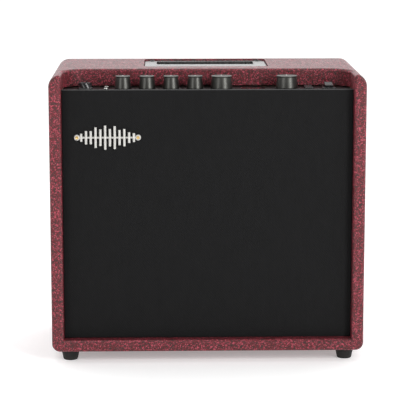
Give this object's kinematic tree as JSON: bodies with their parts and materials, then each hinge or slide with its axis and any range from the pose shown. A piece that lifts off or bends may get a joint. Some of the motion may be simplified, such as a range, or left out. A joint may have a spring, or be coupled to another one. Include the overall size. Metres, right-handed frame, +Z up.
{
  "type": "guitar amplifier",
  "caption": "Combo guitar amplifier: covered box with a sunken top control panel, rotary controls, cloth grille, recessed handle, open-backed cabinet and a loudspeaker inside.",
  "frame": {"origin": "middle of the underside of the four feet", "axes": "+X to the right seen from the front, +Y to the back, +Z up"},
  "size_m": [0.39, 0.208, 0.362],
  "materials": {
    "vinyl": "metal-flake red vinyl covering",
    "board_wood": "bare board",
    "back_board": "black textured",
    "screw_black": "black",
    "screw_zinc": "zinc",
    "foot_rubber": "matt",
    "handle_plastic": "moulded texture",
    "grille_fabric": "woven",
    "badge_metal": "pearl silver",
    "pin_brass": "polished",
    "panel_black": "satin",
    "chassis_steel": "zinc plated",
    "circuit_board": "solder mask",
    "window_tint": "polished",
    "knob_grey": "turned gunmetal",
    "shaft_steel": "bright",
    "pot_metal": "plain",
    "button_plastic": "smooth",
    "jack_plastic": "smooth",
    "jack_metal": "bright",
    "switch_plastic": "smooth",
    "basket_steel": "black",
    "cone_paper": "pressed paper",
    "surround_rubber": "soft",
    "coil_copper": "wound wire",
    "motor_steel": "plated",
    "ferrite": "matt"
  },
  "bodies": {
    "amplifier": {"aux_jack": "jack_metal", "badge": "badge_metal", "badge_pins": "pin_brass", "baffle": "board_wood", "bottom_panel": "board_wood", "bushing_nuts": "shaft_steel", "chassis": "chassis_steel", "chassis_screws": "screw_zinc", "cleats": "board_wood", "control_panel": "panel_black", "covering": "vinyl", "display_window": "window_tint", "encoder_body": "pot_metal", "feet": "foot_rubber", "foot_screws": "screw_black", "grille_cloth": "grille_fabric", "grille_frame": "board_wood", "handle_insert": "handle_plastic", "handle_screws": "screw_black", "input_jack": "jack_plastic", "main_board": "circuit_board", "mains_inlet": "switch_plastic", "phones_jack": "jack_metal", "potentiometers": "pot_metal", "power_supply": "circuit_board", "power_switch_body": "switch_plastic", "rear_panel_lower": "back_board", "rear_panel_screws": "screw_black", "rear_panel_upper": "back_board", "recess_rail": "board_wood", "side_left": "board_wood", "side_right": "board_wood", "speaker_basket": "basket_steel", "speaker_magnet": "ferrite", "speaker_plates": "motor_steel", "speaker_screws": "screw_zinc", "speaker_spider": "cone_paper", "speaker_surround": "surround_rubber", "top_panel": "board_wood"},
    "gain_control": {"knob_gain": "knob_grey", "shaft_gain": "shaft_steel"},
    "volume_control": {"knob_volume": "knob_grey", "shaft_volume": "shaft_steel"},
    "treble_control": {"knob_treble": "knob_grey", "shaft_treble": "shaft_steel"},
    "bass_control": {"knob_bass": "knob_grey", "shaft_bass": "shaft_steel"},
    "master_control": {"knob_master": "knob_grey", "shaft_master": "shaft_steel"},
    "encoder_push": {"encoder_sleeve": "shaft_steel"},
    "encoder_turn": {"encoder_shaft": "shaft_steel", "knob_encoder": "knob_grey"},
    "button_1_cap": {"button_1": "button_plastic"},
    "button_2_cap": {"button_2": "button_plastic"},
    "button_3_cap": {"button_3": "button_plastic"},
    "button_4_cap": {"button_4": "button_plastic"},
    "rocker": {"power_rocker": "switch_plastic"},
    "speaker_driver": {"speaker_cone": "cone_paper", "dust_cap": "cone_paper", "voice_coil": "coil_copper"}
  },
  "joints": [
    {"name": "gain_turn", "type": "hinge", "parent": "amplifier", "child": "gain_control", "pos_m": [-0.10499, -0.058, 0.3395], "axis": [0, 0, -1], "range_deg": [-150, 150]},
    {"name": "volume_turn", "type": "hinge", "parent": "amplifier", "child": "volume_control", "pos_m": [-0.07501, -0.058, 0.3395], "axis": [0, 0, -1], "range_deg": [-150, 150]},
    {"name": "treble_turn", "type": "hinge", "parent": "amplifier", "child": "treble_control", "pos_m": [-0.045, -0.058, 0.3395], "axis": [0, 0, -1], "range_deg": [-150, 150]},
    {"name": "bass_turn", "type": "hinge", "parent": "amplifier", "child": "bass_control", "pos_m": [-0.01499, -0.058, 0.3395], "axis": [0, 0, -1], "range_deg": [-150, 150]},
    {"name": "master_turn", "type": "hinge", "parent": "amplifier", "child": "master_control", "pos_m": [0.018, -0.058, 0.3395], "axis": [0, 0, -1], "range_deg": [-150, 150]},
    {"name": "encoder_press", "type": "slide", "parent": "amplifier", "child": "encoder_push", "axis": [0, 0, -1], "range_m": [0, 0.0005], "stiffness_N_per_m": 2500, "springref_m": -0.0006},
    {"name": "encoder_spin", "type": "hinge", "parent": "encoder_push", "child": "encoder_turn", "pos_m": [0.0994, -0.058, 0.3395], "axis": [0, 0, -1], "continuous": true},
    {"name": "button_1_press", "type": "slide", "parent": "amplifier", "child": "button_1_cap", "axis": [0, 0, -1], "range_m": [0, 0.0008], "stiffness_N_per_m": 1200, "springref_m": -0.0006},
    {"name": "button_2_press", "type": "slide", "parent": "amplifier", "child": "button_2_cap", "axis": [0, 0, -1], "range_m": [0, 0.0008], "stiffness_N_per_m": 1200, "springref_m": -0.0006},
    {"name": "button_3_press", "type": "slide", "parent": "amplifier", "child": "button_3_cap", "axis": [0, 0, -1], "range_m": [0, 0.0008], "stiffness_N_per_m": 1200, "springref_m": -0.0006},
    {"name": "button_4_press", "type": "slide", "parent": "amplifier", "child": "button_4_cap", "axis": [0, 0, -1], "range_m": [0, 0.0008], "stiffness_N_per_m": 1200, "springref_m": -0.0006},
    {"name": "power_rock", "type": "hinge", "parent": "amplifier", "child": "rocker", "pos_m": [0.1523, -0.054, 0.3405], "axis": [1, 0, 0], "range_deg": [-16, 0]},
    {"name": "cone_travel", "type": "slide", "parent": "amplifier", "child": "speaker_driver", "axis": [0, -1, 0], "range_m": [-0.003, 0.003], "stiffness_N_per_m": 1500, "deforming": ["speaker_surround", "speaker_spider"]}
  ]
}
